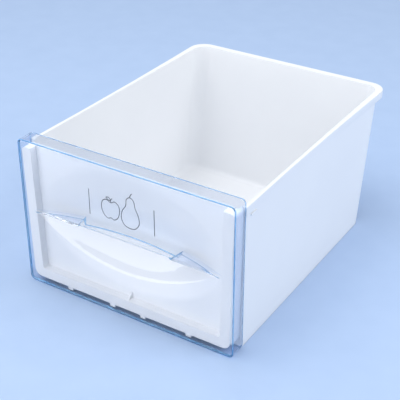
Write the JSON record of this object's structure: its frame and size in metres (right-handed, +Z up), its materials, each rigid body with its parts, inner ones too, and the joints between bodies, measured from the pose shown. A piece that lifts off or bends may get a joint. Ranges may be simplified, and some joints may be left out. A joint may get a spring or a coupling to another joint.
{
  "type": "refrigerator drawer",
  "caption": "Open-topped refrigerator crisper drawer: a tapered white tub with an overhanging rim and a clear front cover with a dished finger grip.",
  "frame": {"origin": "on the plane that the tub stands on, midway across and midway between the cover's front face and the rear of the rim", "axes": "+X across the drawer, to the right of someone who faces its rear from its front; +Y from front to rear, the way it slides in; +Z up"},
  "size_m": [0.24, 0.319, 0.166],
  "materials": {
    "white_plastic": "satin",
    "clear_plastic": "clear"
  },
  "bodies": {
    "tub": {"tub_body": "white_plastic", "tub_front": "white_plastic"},
    "cover": {"cover": "clear_plastic"}
  },
  "joints": [
    {"name": "cover_off", "type": "slide", "parent": "tub", "child": "cover", "axis": [0, -1, 0], "range_m": [0, 0.06]}
  ]
}
